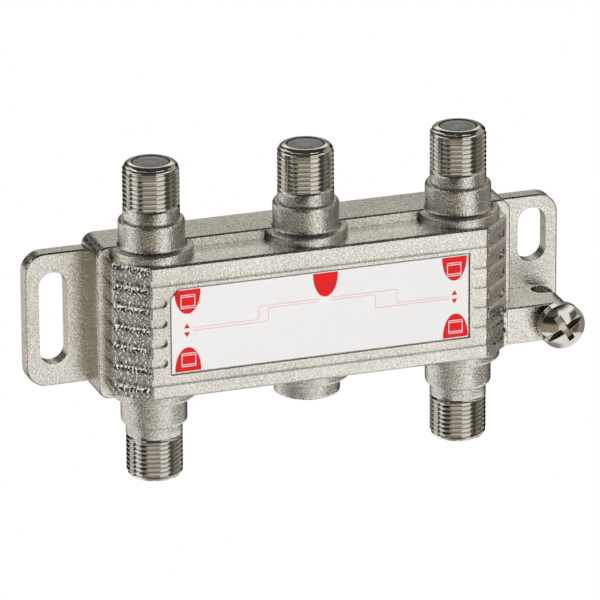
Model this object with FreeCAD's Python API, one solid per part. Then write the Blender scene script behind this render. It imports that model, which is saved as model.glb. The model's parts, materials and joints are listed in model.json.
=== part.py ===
import FreeCAD, Part
import math
import os

from FreeCAD import Vector

# Four-way coaxial splitter for wall mounting, in millimetres.
# X runs along its width, +Z is up, the wall is the plane Y = 0 and the front faces -Y.
# The origin is the centre of the back face.

# Front block of the housing: its width follows from the ports and its height from the board inside
block_beyond_port = 7.7
block_depth = 16.25
end_chamfer = 5.0
block_edge_chamfer = 0.35

# Back flange, a little wider and taller than the block
flange_side_lip = 1.8
flange_top_lip = 1.71
flange_depth = 8.46
flange_corner_radius = 2.0
flange_edge_chamfer = 0.25

# Walls of the hollow casting
side_wall = 1.8
front_wall = 2.1

# Grooves that wrap round the end chamfers; the outermost pair also crosses the front
groove_count = 6
groove_pitch = 3.5
groove_width = 1.6
outer_groove_width = 1.25
groove_depth = 0.55
groove_front_reach = 2.85
groove_rear_margin = 0.5

# Recess and plate on the front face
label_end_margin = 3.6
label_to_groove = 0.825
label_corner_cut = 1.45
label_thickness = 0.3
label_recess_depth = 0.45
label_clearance = 0.3

# Mounting ears and their slots
ear_length = 10.7
ear_thickness = 2.65
ear_top_below_block = 0.26
ear_foot_below_block = 0.34
ear_corner_radius = 3.5
ear_edge_chamfer = 0.25
left_slot_from_tip = 4.8
left_slot_width = 4.9
left_slot_above_foot = 3.8
left_slot_length = 16.2
right_slot_from_tip = 4.65
right_slot_width = 5.1
right_slot_below_top = 2.23
right_slot_length = 9.67

# Ground block, its wire hole and its screw
ground_block_depth = 11.84
ground_block_radius = 3.3
ground_block_above_foot = 0.45
ground_block_edge_chamfer = 0.25
wire_hole_radius = 1.9
wire_hole_land = 0.15
screw_radius = 1.7
screw_clearance = 0.05
screw_length = 6.5
screw_tip_chamfer = 0.5
screw_backed_out = 1.3
head_radius = 3.95
head_rim = 1.6
head_dome = 1.5
recess_width = 1.1
recess_depth = 1.3
recess_slot_length = 6.9
recess_cross_length = 5.0
recess_turn = 32.0

# Threaded ports, all alike, 3/8 in across the thread; heights are from the top of the block
port_pitch = 27.0
port_axis_from_front = 7.58
port_height = 15.99
thread_radius = 4.76
thread_length = 7.8
neck_length = 1.9
shoulder_height = 0.9
collar_radius = 5.58
base_ring_radius = 7.05
base_ring_height = 1.55
base_ring_bevel = 0.45
port_tip_chamfer = 1.0
blank_stub_height = 4.35

# Bores of the ports, and the plastic and the spring contact in them
fit_clearance = 0.05
insulator_radius = 3.15
insulator_length = 9.0
mouth_recess = 0.25
plug_hole_radius = 0.8
disc_thickness = 1.6
contact_bore_radius = 2.4
contact_half_width = 1.0
contact_wall = 0.3
contact_length = 6.4
contact_slit = 0.3
contact_slit_depth = 4.0
tail_width = 0.8
tail_thickness = 0.4
tail_from_board_edge = 1.06
tail_stick_out = 0.7

# Cover in its rebate at the back
cover_thickness = 0.9
cover_clearance = 0.05
rebate_ledge = 1.2
cover_corner_radius = 1.5

# Circuit board on four posts
board_thickness = 1.6
solder_room = 2.2
board_edge_gap = 0.5
post_half_width = 1.5
post_from_port = 2.9
post_from_top = 2.2
board_margin = 0.76
hole_clearance = 0.1

# Two-hole ferrite cores and their windings
core_length = 5.2
core_height = 3.0
core_depth = 3.6
core_edge_chamfer = 0.8
core_hole_radius = 0.8
core_hole_spacing = 2.5
wire_radius = 0.2
wire_spread = 0.3
wire_turn_room = 0.4
wire_lead_room = 0.95
second_core_from_port = 9.0
input_core_z = 2.6
core_gap = 0.5

# Chips on the board: length along X, width along Z and height off the board
cap_step = 0.06
capacitor_length = 2.0
capacitor_width = 1.25
capacitor_height = 1.0
capacitor_cap = 0.45
capacitor_from_port = 4.5
capacitor_from_tail = 2.1
resistor_length = 3.2
resistor_width = 1.6
resistor_height = 0.6
resistor_cap = 0.5
resistor_from_core = 6.5
choke_length = 4.5
choke_width = 2.4
choke_height = 2.6
choke_flange = 0.9
choke_step = 0.4
choke_gap = 0.85
diode_length = 2.7
diode_width = 1.6
diode_height = 1.1
diode_lead_reach = 0.5
diode_lead_width = 0.6
diode_lead_thickness = 0.15
diode_gap = 0.8
supply_from_port = 10.0

# Rows on the board, from its middle outwards
core_and_wire = core_depth / 2 + wire_lead_room + wire_radius
first_core_z = input_core_z - 2 * core_and_wire - core_gap
choke_z = core_and_wire + choke_gap + choke_width / 2
diode_z = choke_z + choke_width / 2 + diode_gap + diode_width / 2
board_half_height = diode_z + diode_width / 2 + board_margin
tail_z = board_half_height - tail_from_board_edge
capacitor_z = tail_z - capacitor_from_tail
second_core_x = port_pitch - second_core_from_port

# Half sizes and levels of the housing
cavity_half_height = board_half_height + board_edge_gap
block_half_height = cavity_half_height + side_wall
block_half_width = port_pitch + block_beyond_port
flange_half_width = block_half_width + flange_side_lip
flange_half_height = block_half_height + flange_top_lip
cavity_half_width = block_half_width - side_wall
cavity_front = -(block_depth - front_wall)
board_back = -(cover_thickness + solder_room)
board_front = board_back - board_thickness
board_half_width = cavity_half_width - board_edge_gap
outer_groove_z = groove_pitch * (groove_count - 1) / 2
label_half_width = block_half_width - end_chamfer - label_end_margin
label_half_height = outer_groove_z - outer_groove_width / 2 - label_to_groove

# Ports
port_y = port_axis_from_front - block_depth
port_tip = block_half_height + port_height
blank_stub_tip = block_half_height + blank_stub_height
tip_plane = port_tip - mouth_recess
insulator_seat = tip_plane - insulator_length

# Ears and ground block
ear_reach = flange_half_width + ear_length
ear_top = block_half_height - ear_top_below_block
ear_bottom = -(block_half_height + ear_foot_below_block)
ground_x = ear_reach - ear_corner_radius
ground_block_foot = ear_bottom + ground_block_above_foot
ground_z = ground_block_foot + ground_block_radius
ground_block_top = ground_z + ground_block_radius
wire_hole_y = -(ear_thickness + wire_hole_land + wire_hole_radius)

# Each port: its name, its place along X and its way up (1) or down (-1)
ports = [
    ("out_1", -port_pitch, 1),
    ("in", 0.0, 1),
    ("out_2", port_pitch, 1),
    ("out_3", -port_pitch, -1),
    ("out_4", port_pitch, -1),
]

# Each core: its name and its place on the board
cores = [
    ("input", 0.0, input_core_z),
    ("first", 0.0, first_core_z),
    ("left", -second_core_x, 0.0),
    ("right", second_core_x, 0.0),
]

origin = Vector(0, 0, 0)
x_axis = Vector(1, 0, 0)
y_axis = Vector(0, 1, 0)
z_axis = Vector(0, 0, 1)


def box(x0, x1, y0, y1, z0, z1):
    return Part.makeBox(x1 - x0, y1 - y0, z1 - z0, Vector(x0, y0, z0))


def cylinder(radius, start, end):
    along = end.sub(start)
    return Part.makeCylinder(radius, along.Length, start, along)


def prism(points, along):
    face = Part.Face(Part.makePolygon(points + [points[0]]))
    return face.extrude(along)


def revolved(points):
    """A solid turned about the Z axis from its half profile of (radius, height) points."""
    outline = [Vector(radius, 0, height) for radius, height in points]
    face = Part.Face(Part.makePolygon(outline + [outline[0]]))
    return face.revolve(origin, z_axis, 360)


def rounded(solid, radius, chosen):
    """The solid with a fillet on each edge whose middle passes the test."""
    edges = [edge for edge in solid.Edges if chosen(edge.CenterOfMass)]
    return solid.makeFillet(radius, edges)


def bevelled(solid, size, chosen):
    """The solid with a chamfer on each edge whose middle passes the test."""
    edges = [edge for edge in solid.Edges if chosen(edge.CenterOfMass)]
    return solid.makeChamfer(size, edges)


def eight_sided(centre, along, radius):
    """The closed outline of a hidden wire or hole about a line across X: eight sides keep it light."""
    sides = 8
    ring = []
    for side in range(sides + 1):
        angle = 2 * math.pi * side / sides
        across = along.cross(x_axis).normalize() * math.sin(angle) + x_axis * math.cos(angle)
        ring.append(centre.add(across * radius))
    return Part.makePolygon(ring)


def bent_wire(points, radius):
    """A thin wire through the points, with a mitre at each turn."""
    ring = eight_sided(points[0], points[1].sub(points[0]), radius)
    path = Part.makePolygon(points)
    sharp_corners = 1
    return path.makePipeShell([ring], True, False, sharp_corners)


def placed_at_port(solid, x, way):
    """A solid made on the Z axis, moved to its port and turned over for one that points down."""
    moved = solid.copy()
    if way < 0:
        moved.rotate(origin, y_axis, 180)
    moved.translate(Vector(x, port_y, 0))
    return moved


def front_block():
    """The block behind the label, with a large chamfer at each end."""
    chamfer_x = block_half_width - end_chamfer
    chamfer_y = -(block_depth - end_chamfer)
    outline = [
        (-block_half_width, -ear_thickness),
        (-block_half_width, chamfer_y),
        (-chamfer_x, -block_depth),
        (chamfer_x, -block_depth),
        (block_half_width, chamfer_y),
        (block_half_width, -ear_thickness),
    ]
    points = [Vector(x, y, -block_half_height) for x, y in outline]
    block = prism(points, z_axis * (2 * block_half_height))
    return bevelled(block, block_edge_chamfer, lambda middle: middle.y < -block_depth + 1e-6)


def flange():
    plate = box(
        -flange_half_width, flange_half_width, -flange_depth, 0, -flange_half_height, flange_half_height
    )
    across = flange_depth / 2
    plate = rounded(
        plate,
        flange_corner_radius,
        lambda middle: abs(middle.y + across) < 1e-6 and abs(middle.x) > 1 and abs(middle.z) > 1,
    )
    return bevelled(plate, flange_edge_chamfer, lambda middle: middle.y < -flange_depth + 1e-6)


def ear(side):
    """One mounting ear, side -1 on the left and 1 on the right."""
    plate = Part.makeBox(
        ear_reach,
        ear_thickness,
        ear_top - ear_bottom,
        Vector(0 if side > 0 else -ear_reach, -ear_thickness, ear_bottom),
    )
    plate = rounded(
        plate,
        ear_corner_radius,
        lambda middle: abs(middle.x) > ear_reach - 1e-6 and abs(middle.y + ear_thickness / 2) < 1e-6,
    )
    return bevelled(
        plate,
        ear_edge_chamfer,
        lambda middle: middle.y < -ear_thickness + 1e-6 and abs(middle.x) > 1,
    )


def ear_slot(x, width, bottom, length):
    radius = width / 2
    top = bottom + length
    past = ear_thickness
    low = Vector(x, -ear_thickness - past, bottom + radius)
    high = Vector(x, -ear_thickness - past, top - radius)
    deep = y_axis * (ear_thickness + 2 * past)
    ends = cylinder(radius, low, low.add(deep)).fuse(cylinder(radius, high, high.add(deep)))
    middle = box(x - radius, x + radius, low.y, low.y + deep.y, low.z, high.z)
    return ends.fuse(middle)


def ground_block():
    """The clamp block that grows from the right ear, rounded about the screw's axis."""
    depth = y_axis * ground_block_depth
    start = Vector(ground_x, -ground_block_depth, ground_z)
    end = cylinder(ground_block_radius, start, start.add(depth))
    bar = box(
        block_half_width - side_wall / 2,
        ground_x,
        -ground_block_depth,
        0,
        ground_block_foot,
        ground_block_top,
    )
    block = bar.fuse(end).removeSplitter()
    return bevelled(
        block,
        ground_block_edge_chamfer,
        lambda middle: middle.y < -ground_block_depth + 1e-6 and middle.x > block_half_width,
    )


def groove_tool(side, z, width, inner_end):
    """The cutter for one groove: along the front face from inner_end, then along the end chamfer."""
    half = width / 2
    outside = 1.0
    corner_x = block_half_width - end_chamfer
    front = box(
        min(inner_end, corner_x + outside),
        corner_x + outside,
        -block_depth - outside,
        -block_depth + groove_depth,
        z - half,
        z + half,
    )
    cap_start = Vector(inner_end, -block_depth - outside, z)
    cap = cylinder(half, cap_start, cap_start.add(y_axis * (outside + groove_depth)))
    run = end_chamfer * math.sqrt(2) - groove_rear_margin - half
    slant = box(-outside, run, -outside, groove_depth, z - half, z + half)
    slant_cap_start = Vector(run, -outside, z)
    slant_cap = cylinder(half, slant_cap_start, slant_cap_start.add(y_axis * (outside + groove_depth)))
    slant = slant.fuse(slant_cap)
    slant.rotate(origin, z_axis, 45)
    slant.translate(Vector(corner_x, -block_depth, 0))
    tool = front.fuse([cap, slant])
    if side < 0:
        tool = tool.mirror(origin, x_axis)
    return tool


def grooves():
    tools = []
    corner_x = block_half_width - end_chamfer
    for number in range(groove_count):
        z = number * groove_pitch - outer_groove_z
        is_outer = number in (0, groove_count - 1)
        width = outer_groove_width if is_outer else groove_width
        inner_end = 0.0 if is_outer else corner_x - groove_front_reach + width / 2
        for side in (-1, 1):
            tools.append(groove_tool(side, z, width, inner_end))
    return tools


def label_outline(grow, depth, y):
    """The label's shape, with its upper left corner cut off, grown by the given margin."""
    half_width = label_half_width + grow
    half_height = label_half_height + grow
    cut = label_corner_cut
    points = [
        Vector(-half_width, y, -half_height),
        Vector(half_width, y, -half_height),
        Vector(half_width, y, half_height),
        Vector(-half_width + cut, y, half_height),
        Vector(-half_width, y, half_height - cut),
    ]
    return prism(points, y_axis * depth)


def collar_profile(foot):
    """Half profile of what every port shares: the bevelled base ring, and the foot of the collar."""
    ring_top = block_half_height + base_ring_height
    return [
        (0, foot),
        (base_ring_radius, foot),
        (base_ring_radius, ring_top - base_ring_bevel),
        (base_ring_radius - base_ring_bevel, ring_top),
        (collar_radius, ring_top),
    ]


def port_body():
    """One port as cast, on the Z axis, without its bore."""
    neck_foot = port_tip - thread_length - neck_length
    points = collar_profile(block_half_height - side_wall / 2)
    points.append((collar_radius, neck_foot - shoulder_height))
    points.append((thread_radius, neck_foot))
    points.append((thread_radius, port_tip - port_tip_chamfer))
    points.append((thread_radius - port_tip_chamfer, port_tip))
    points.append((0, port_tip))
    return revolved(points)


def blank_stub():
    """The place of the sixth port, closed and cut short."""
    points = collar_profile(block_half_height - side_wall / 2)
    points.append((collar_radius, blank_stub_tip - block_edge_chamfer))
    points.append((collar_radius - block_edge_chamfer, blank_stub_tip))
    points.append((0, blank_stub_tip))
    return revolved(points)


def port_bore():
    """The stepped bore from the mouth of a port into the cavity."""
    past = 1.0
    wide = insulator_radius + fit_clearance
    top = cylinder(wide, Vector(0, 0, insulator_seat), Vector(0, 0, port_tip + past))
    narrow_foot = cavity_half_height - past
    narrow = cylinder(contact_bore_radius, Vector(0, 0, narrow_foot), Vector(0, 0, insulator_seat + past))
    return top.fuse(narrow)


def cavity():
    """The hollow behind the front wall, open at the back, with the same end chamfers as the block."""
    inward = front_wall * math.sqrt(2)
    slant_sum = block_half_width - end_chamfer + block_depth - inward
    chamfer_x = slant_sum + cavity_front
    chamfer_y = -(slant_sum - cavity_half_width)
    past = 1.0
    outline = [
        (-cavity_half_width, past),
        (-cavity_half_width, chamfer_y),
        (-chamfer_x, cavity_front),
        (chamfer_x, cavity_front),
        (cavity_half_width, chamfer_y),
        (cavity_half_width, past),
    ]
    points = [Vector(x, y, -cavity_half_height) for x, y in outline]
    return prism(points, z_axis * (2 * cavity_half_height))


def cover_plate(grow, y0, y1):
    half_width = cavity_half_width + rebate_ledge + grow
    half_height = cavity_half_height + rebate_ledge + grow
    plate = box(-half_width, half_width, y0, y1, -half_height, half_height)
    middle_y = (y0 + y1) / 2
    return rounded(
        plate,
        cover_corner_radius + grow,
        lambda middle: abs(middle.y - middle_y) < 1e-6 and abs(middle.x) > 1 and abs(middle.z) > 1,
    )


def posts():
    """Four cast posts that carry the board, which the cavity leaves standing."""
    x = port_pitch + post_from_port
    z = cavity_half_height - post_from_top
    solids = []
    for side in (-1, 1):
        for way in (-1, 1):
            low_x = side * x - post_half_width
            low_z = way * z - post_half_width
            foot = cavity_front - front_wall / 2
            size = 2 * post_half_width
            solids.append(box(low_x, low_x + size, foot, board_front, low_z, low_z + size))
    return solids


def housing():
    solid = front_block().fuse([flange(), ear(-1), ear(1), ground_block()])
    for _, x, way in ports:
        solid = solid.fuse(placed_at_port(port_body(), x, way))
    solid = solid.fuse(placed_at_port(blank_stub(), 0.0, -1))
    solid = solid.cut(cavity().cut(posts()))
    past = 1.0
    left_slot_x = left_slot_from_tip - ear_reach
    right_slot_x = ear_reach - right_slot_from_tip
    right_slot_bottom = ear_top - right_slot_below_top - right_slot_length
    cuts = [
        cover_plate(cover_clearance, -cover_thickness, past),
        ear_slot(left_slot_x, left_slot_width, ear_bottom + left_slot_above_foot, left_slot_length),
        ear_slot(right_slot_x, right_slot_width, right_slot_bottom, right_slot_length),
        label_outline(label_clearance, label_recess_depth + past, -block_depth - past),
    ]
    cuts += grooves()
    cuts += [placed_at_port(port_bore(), x, way) for _, x, way in ports]
    wire_foot = Vector(ground_x, wire_hole_y, ear_bottom - past)
    cuts.append(cylinder(wire_hole_radius, wire_foot, Vector(ground_x, wire_hole_y, ground_block_top + past)))
    hole_start = Vector(ground_x, -ground_block_depth - past, ground_z)
    hole_end = Vector(ground_x, wire_hole_y, ground_z)
    cuts.append(cylinder(screw_radius + screw_clearance, hole_start, hole_end))
    return solid.cut(cuts).removeSplitter()


def back_cover():
    return cover_plate(0.0, -cover_thickness, 0.0)


def label_plate():
    return label_outline(0.0, -label_thickness, -block_depth + label_recess_depth)


def ground_screw():
    """Pan-head screw on the Y axis at rest: its head stands off the block by the backed-out length."""
    dome_rise = head_dome
    sphere_radius = (head_radius**2 + dome_rise**2) / (2 * dome_rise)
    start = Vector(0, 0, 0)
    rim = cylinder(head_radius, start, Vector(0, 0, head_rim))
    dome = Part.makeSphere(sphere_radius, Vector(0, 0, head_rim + dome_rise - sphere_radius))
    dome = dome.common(cylinder(head_radius, Vector(0, 0, head_rim), Vector(0, 0, head_rim + dome_rise)))
    shank = Part.makeCylinder(screw_radius, screw_length, start, Vector(0, 0, -1))
    tip = [edge for edge in shank.Edges if edge.CenterOfMass.z < -screw_length + 1e-6]
    shank = shank.makeChamfer(screw_tip_chamfer, tip)
    screw = rim.fuse([dome, shank]).removeSplitter()
    floor = head_rim + head_dome - recess_depth
    top = head_rim + head_dome + 1.0
    half = recess_width / 2
    slot = box(-recess_slot_length / 2, recess_slot_length / 2, -half, half, floor, top)
    cross = box(-half, half, -recess_cross_length / 2, recess_cross_length / 2, floor, top)
    recess = slot.fuse(cross)
    recess.rotate(origin, z_axis, recess_turn)
    screw = screw.cut(recess)
    screw.rotate(origin, x_axis, 90)
    screw.translate(Vector(ground_x, -ground_block_depth - screw_backed_out, ground_z))
    return screw


def insulator():
    """The plastic plug of a port: a front disc with a centre hole, and a square chamber for the contact."""
    plug = cylinder(insulator_radius, Vector(0, 0, insulator_seat), Vector(0, 0, tip_plane))
    half = contact_half_width + fit_clearance
    chamber = box(-half, half, -half, half, insulator_seat - 1, tip_plane - disc_thickness)
    centre_hole = cylinder(plug_hole_radius, Vector(0, 0, insulator_seat), Vector(0, 0, tip_plane + 1))
    return plug.cut([chamber, centre_hole])


def contact():
    """A spring sleeve folded from strip, slit on two sides, with a tail that turns back into the board."""
    sleeve_top = tip_plane - disc_thickness - fit_clearance
    sleeve_foot = sleeve_top - contact_length
    outside = contact_half_width
    inside = outside - contact_wall
    sleeve = box(-outside, outside, -outside, outside, sleeve_foot, sleeve_top)
    sleeve = sleeve.cut(box(-inside, inside, -inside, inside, sleeve_foot + contact_wall, sleeve_top))
    half_slit = contact_slit / 2
    slit = box(-outside, outside, -half_slit, half_slit, sleeve_top - contact_slit_depth, sleeve_top)
    half_width = tail_width / 2
    half_thickness = tail_thickness / 2
    low = tail_z - half_thickness
    tail_end = board_back + tail_stick_out - port_y
    drop = box(-half_width, half_width, -half_thickness, half_thickness, low, sleeve_foot)
    leg = box(-half_width, half_width, -half_thickness, tail_end, low, low + tail_thickness)
    return sleeve.cut(slit).fuse([drop, leg]).removeSplitter()


def ferrite_core(x, z):
    """A two-hole core lying flat on the board, its holes along Z."""
    half_length = core_length / 2
    middle_y = board_front - core_height / 2
    foot = z - core_depth / 2
    top = z + core_depth / 2
    solid = box(x - half_length, x + half_length, board_front - core_height, board_front, foot, top)
    solid = bevelled(
        solid,
        core_edge_chamfer,
        lambda middle: abs(middle.x - x) > half_length - 1e-6 and abs(middle.y - middle_y) > 1e-6,
    )
    for side in (-1, 1):
        hole_start = Vector(x + side * core_hole_spacing / 2, middle_y, foot - 1)
        hole = Part.Face(eight_sided(hole_start, z_axis, core_hole_radius))
        solid = solid.cut(hole.extrude(z_axis * (core_depth + 2)))
    return solid


def winding(x, z):
    """Two hairpin wires through the core's holes, from opposite sides, their ends soldered to the board."""
    middle_y = board_front - core_height / 2
    left = x - core_hole_spacing / 2
    right = x + core_hole_spacing / 2
    wires = []
    for way in (1, -1):
        y = middle_y - way * wire_spread
        lead_z = z + way * (core_depth / 2 + wire_lead_room)
        turn_z = z - way * (core_depth / 2 + wire_turn_room)
        points = [
            Vector(left, board_front, lead_z),
            Vector(left, y, lead_z),
            Vector(left, y, turn_z),
            Vector(right, y, turn_z),
            Vector(right, y, lead_z),
            Vector(right, board_front, lead_z),
        ]
        wires.append(bent_wire(points, wire_radius))
    return Part.makeCompound(wires)


def on_board(x, z, length, width, height, lift=0.0):
    """A block centred at x, z that stands off the board's front by its height."""
    foot = board_front - lift
    half_length = length / 2
    half_width = width / 2
    return box(x - half_length, x + half_length, board_front - height, foot, z - half_width, z + half_width)


def chip(x, z, length, width, height, cap, step):
    """A surface-mounted part: a body between two end caps that stand out from it by the step."""
    body = on_board(x, z, length - cap, width - 2 * step, height - step, step)
    cap_x = (length - cap) / 2
    caps = [on_board(x + side * cap_x, z, cap, width, height) for side in (-1, 1)]
    return body.fuse(caps)


def capacitor(x, way):
    at = x + inward(x) * capacitor_from_port
    z = way * capacitor_z
    return chip(at, z, capacitor_length, capacitor_width, capacitor_height, capacitor_cap, cap_step)


def resistor(x, z):
    """Beside its core, outside the left and right ones."""
    at = x + (-1 if x < 0 else 1) * resistor_from_core
    return chip(at, z, resistor_length, resistor_width, resistor_height, resistor_cap, cap_step)


def choke(x, way):
    at = x + inward(x) * supply_from_port
    return chip(at, way * choke_z, choke_length, choke_width, choke_height, choke_flange, choke_step)


def diode(x, way):
    """A moulded body on one flat strip that stands out at both ends."""
    at = x + inward(x) * supply_from_port
    z = way * diode_z
    body = on_board(at, z, diode_length, diode_width, diode_height)
    reach = diode_length + 2 * diode_lead_reach
    return body.fuse(on_board(at, z, reach, diode_lead_width, diode_lead_thickness))


def inward(x):
    """The way towards the middle of the board, or to the right from the middle itself."""
    return -1 if x > 0 else 1


def circuit_board():
    """The board, with a slot for the tail of each contact."""
    board = box(
        -board_half_width, board_half_width, board_front, board_back, -board_half_height, board_half_height
    )
    half_width = tail_width / 2 + hole_clearance
    half_height = tail_thickness / 2 + hole_clearance
    for _, x, way in ports:
        z = way * tail_z
        slot = box(
            x - half_width, x + half_width, board_front - 1, board_back + 1, z - half_height, z + half_height
        )
        board = board.cut(slot)
    return board


def all_nodes():
    nodes = {
        "housing": housing(),
        "back_cover": back_cover(),
        "label_plate": label_plate(),
        "ground_screw": ground_screw(),
        "circuit_board": circuit_board(),
    }
    for name, x, way in ports:
        nodes["insulator_" + name] = placed_at_port(insulator(), x, way)
        nodes["contact_" + name] = placed_at_port(contact(), x, way)
        nodes["capacitor_" + name] = capacitor(x, way)
        if name != "in":
            nodes["choke_" + name] = choke(x, way)
            nodes["diode_" + name] = diode(x, way)
    for name, x, z in cores:
        nodes["core_" + name] = ferrite_core(x, z)
        nodes["winding_" + name] = winding(x, z)
        if name != "input":
            nodes["resistor_" + name] = resistor(x, z)
    return nodes


os.makedirs("parts", exist_ok=True)
for node, shape in all_nodes().items():
    shape.exportStep("parts/" + node + ".step")
    print(node, len(shape.Solids), "solid", round(shape.Volume, 1), "mm3, valid", shape.isValid())
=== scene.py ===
import json
import math

import bmesh
import bpy
from mathutils import Matrix, Vector


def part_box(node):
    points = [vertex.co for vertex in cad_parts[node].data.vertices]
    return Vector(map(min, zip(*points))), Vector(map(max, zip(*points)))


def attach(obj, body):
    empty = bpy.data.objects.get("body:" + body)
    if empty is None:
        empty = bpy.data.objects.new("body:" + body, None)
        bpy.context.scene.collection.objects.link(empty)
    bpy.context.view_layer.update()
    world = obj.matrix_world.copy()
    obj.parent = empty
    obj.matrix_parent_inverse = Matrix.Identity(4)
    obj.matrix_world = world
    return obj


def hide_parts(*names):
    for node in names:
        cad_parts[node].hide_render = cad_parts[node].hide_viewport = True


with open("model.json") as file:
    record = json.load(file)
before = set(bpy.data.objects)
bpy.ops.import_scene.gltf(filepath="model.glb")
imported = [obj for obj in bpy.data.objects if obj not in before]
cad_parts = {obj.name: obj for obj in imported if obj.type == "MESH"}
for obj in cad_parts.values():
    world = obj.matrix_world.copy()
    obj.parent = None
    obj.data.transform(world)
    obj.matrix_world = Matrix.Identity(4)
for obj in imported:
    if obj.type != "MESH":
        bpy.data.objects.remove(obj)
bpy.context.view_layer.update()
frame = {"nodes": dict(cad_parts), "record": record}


# The housing
# One zinc die casting, plated with nickel over its grainy as-cast skin. The turned outsides of the
# ports are pieces of their own below, so here they come off and the casting's edges are softened.
MM = 0.001


class Value:
    """An output of a shader node, on which Python's operators add Math nodes."""

    def __init__(self, finish, socket):
        self.finish = finish
        self.socket = socket

    def maths(self, operation, *inputs):
        """Adds a Math node of any operation on its inputs."""
        return self.finish.node("ShaderNodeMath", {"operation": operation}, dict(enumerate(inputs)))

    def __add__(self, other):
        return self.maths("ADD", self, other)

    def __radd__(self, other):
        return self.maths("ADD", other, self)

    def __sub__(self, other):
        return self.maths("SUBTRACT", self, other)

    def __rsub__(self, other):
        return self.maths("SUBTRACT", other, self)

    def __mul__(self, other):
        return self.maths("MULTIPLY", self, other)

    def __rmul__(self, other):
        return self.maths("MULTIPLY", other, self)

    def between(self, start, end):
        """0 on the start's side, 1 past the end and straight in between, whichever of the two is larger."""
        sockets = {"Value": self, "From Min": start, "From Max": end}
        return self.finish.node("ShaderNodeMapRange", {"clamp": True}, sockets)


class Finish:
    """A material whose Principled shader is fed by nodes."""

    def __init__(self, name, **constants):
        self.material = bpy.data.materials.new(name)
        self.material.use_nodes = True
        self.tree = self.material.node_tree
        self.shader = self.tree.nodes["Principled BSDF"]
        for socket, constant in constants.items():
            self.shader.inputs[socket.replace("_", " ")].default_value = constant

    def node(self, kind, settings, sockets, output=0):
        """Adds a node: its settings first, then the values or links of its sockets."""
        added = self.tree.nodes.new(kind)
        for setting, value in settings.items():
            if setting == "stops":
                self.set_stops(added.color_ramp.elements, value)
            else:
                setattr(added, setting, value)
        for socket, value in sockets.items():
            self.feed(added.inputs[socket], value)
        return Value(self, added.outputs[output])

    def set_stops(self, elements, stops):
        while len(elements) < len(stops):
            elements.new(0.5)
        for element, (position, colour) in zip(elements, stops):
            element.position = position
            element.color = (*colour, 1)

    def feed(self, target, value):
        if isinstance(value, Value):
            self.tree.links.new(value.socket, target)
        else:
            target.default_value = value

    def place(self):
        """Where the point is on the piece, in metres."""
        return self.node("ShaderNodeTexCoord", {}, {}, "Object")

    def along(self, place, axis):
        """How far the place lies along X, Y or Z."""
        return self.node("ShaderNodeSeparateXYZ", {}, {"Vector": place}, axis)

    def noise(self, place, feature, detail=2.0, roughness=0.5):
        """A field of about 0 to 1 whose patches measure about the feature's length, in metres."""
        sockets = {"Vector": place, "Scale": 1 / feature, "Detail": detail, "Roughness": roughness}
        return self.node("ShaderNodeTexNoise", {}, sockets)

    def ramp(self, value, stops):
        return self.node("ShaderNodeValToRGB", {"stops": stops}, {"Fac": value})

    def mix(self, factor, first, second):
        settings = {"data_type": "RGBA"}
        return self.node("ShaderNodeMix", settings, {0: factor, 6: first, 7: second}, 2)

    def openness(self, reach):
        """1 on open faces, falling towards 0 in corners and grooves narrower than the reach."""
        return self.node("ShaderNodeAmbientOcclusion", {"samples": 8}, {"Distance": reach}, "AO")

    def bump(self, height, distance, strength=1.0, edge=0.0):
        """Lifts the surface by the height times the distance; the edge is the radius that rounds edges."""
        sockets = {"Height": height, "Distance": distance, "Strength": strength}
        if edge:
            sockets["Normal"] = self.node("ShaderNodeBevel", {"samples": 6}, {"Radius": edge})
        return self.node("ShaderNodeBump", {}, sockets)

    def show(self, **sockets):
        """Feeds the shader's sockets and gives the finished material back."""
        for socket, value in sockets.items():
            self.feed(self.shader.inputs[socket.replace("_", " ")], value)
        return self.material


def new_piece(name, mesh, material, body, slot, *replaced):
    """Puts a mesh in the scene as a piece of the object that rides on a body."""
    piece = bpy.data.objects.new(name, mesh)
    bpy.context.scene.collection.objects.link(piece)
    mesh.materials.clear()
    mesh.materials.append(material)
    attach(piece, body)
    if replaced:
        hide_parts(*replaced)


def mesh_of(shape, name):
    mesh = bpy.data.meshes.new(name)
    shape.to_mesh(mesh)
    shape.free()
    return mesh


def smoothed(mesh, sharp_angle):
    """The mesh with round shading, but for edges that turn by more than the sharp angle in degrees."""
    if mesh.has_custom_normals:
        mesh.attributes.remove(mesh.attributes["custom_normal"])
    mesh.shade_smooth()
    mesh.set_sharp_from_angle(angle=math.radians(sharp_angle))
    return mesh


def copied(node, keeps):
    """A copy of a CAD node's mesh, joined up and without the faces that the test turns down."""
    joined_within = 0.0005 * MM
    flat_within = math.radians(0.5)
    shape = bmesh.new()
    shape.from_mesh(frame["nodes"][node].data)
    bmesh.ops.remove_doubles(shape, verts=shape.verts, dist=joined_within)
    unwanted = [face for face in shape.faces if not keeps(face)]
    bmesh.ops.delete(shape, geom=unwanted, context="FACES")
    bmesh.ops.dissolve_limit(shape, angle_limit=flat_within, verts=shape.verts, edges=shape.edges)
    return smoothed(mesh_of(shape, node + "_shape"), sharp_angle=16)


PORT_NAMES = ("out_1", "in", "out_2", "out_3", "out_4")
BLOCK_TOP = 11.66 * MM
FLANGE_STEP = 1.71 * MM
RING_RADIUS = 7.05 * MM
BORE_RADIUS = 3.2 * MM
STUB_REACH = 6 * MM
STUB_FOOT = 2 * MM
SLACK = 0.05 * MM
HAIR = 0.001 * MM


def port_place(name):
    """The port's axis in X and Y, and 1 for a port that points up or -1 for one that points down."""
    low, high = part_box("insulator_" + name)
    return (low.x + high.x) / 2, (low.y + high.y) / 2, 1 if low.z > 0 else -1


STUB_PLACE = (port_place("in")[0], port_place("in")[1], -1)
TURNED_PLACES = [port_place(name) for name in PORT_NAMES] + [STUB_PLACE]


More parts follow.
